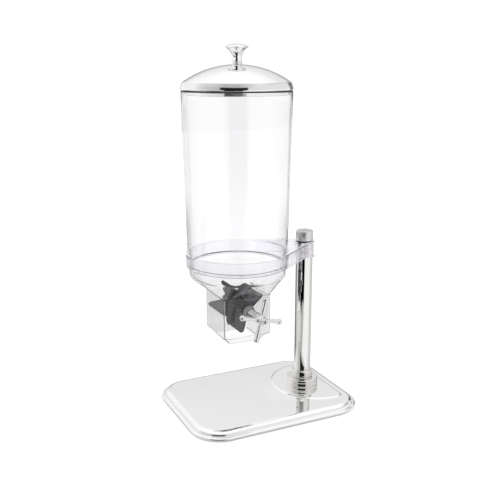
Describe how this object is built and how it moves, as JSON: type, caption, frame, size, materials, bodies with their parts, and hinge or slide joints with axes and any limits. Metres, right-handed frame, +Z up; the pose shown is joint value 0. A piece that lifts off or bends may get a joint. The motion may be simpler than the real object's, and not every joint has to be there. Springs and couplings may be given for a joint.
{
  "type": "gravity bulk food bin",
  "caption": "Clear gravity bin with a paddle wheel turned by a cross handle, held by a ring and arm on a polished post over a tray, with a domed lid that lifts off.",
  "frame": {"origin": "on the table under the middle of the tray", "axes": "+X from the hopper to the post, -Y towards the handle side, +Z up"},
  "size_m": [0.346, 0.265, 0.69],
  "materials": {
    "polished_steel": "mirror polished stainless steel",
    "satin_steel": "satin, brushed round its axis",
    "clear_plastic": "clear, smooth",
    "tinted_plastic": "clear with a faint cool tint",
    "black_rubber": "dull moulded rubber",
    "black_plastic": "fine moulded grain",
    "plain_steel": "plain hardware",
    "white_plastic": "smooth bearing plastic"
  },
  "bodies": {
    "stand": {"base_plate": "polished_steel", "feet": "black_rubber", "stiffening_plate": "plain_steel", "post_bolt": "plain_steel", "post_washer": "plain_steel", "foot_plug": "plain_steel", "flange_collar": "polished_steel", "neck_collar": "polished_steel", "post_tube": "polished_steel", "top_plug": "plain_steel", "bracket": "tinted_plastic", "post_cap": "satin_steel", "cap_stud": "plain_steel"},
    "hopper": {"hopper": "clear_plastic", "front_bush": "white_plastic", "rear_bush": "white_plastic"},
    "wheel": {"drive_shaft": "plain_steel", "wheel_core": "black_plastic", "vane_1": "black_rubber", "vane_2": "black_rubber", "vane_3": "black_rubber", "vane_4": "black_rubber", "vane_5": "black_rubber", "cross_handle": "polished_steel", "handle_screw": "plain_steel", "thrust_washer": "white_plastic", "shaft_clip": "plain_steel"},
    "lid": {"lid_dome": "polished_steel", "lid_skirt": "polished_steel", "lid_seal": "black_rubber", "lid_knob": "polished_steel", "knob_screw": "plain_steel", "knob_washer": "plain_steel"}
  },
  "joints": [
    {"name": "hopper_lift", "type": "slide", "parent": "stand", "child": "hopper", "axis": [0, 0, 1], "range_m": [0, 0.03]},
    {"name": "wheel_spin", "type": "hinge", "parent": "hopper", "child": "wheel", "pos_m": [-0.0427, 0, 0.2088], "axis": [0, -1, 0], "continuous": true},
    {"name": "lid_lift", "type": "slide", "parent": "hopper", "child": "lid", "axis": [0, 0, 1], "range_m": [0, 0.12]}
  ]
}
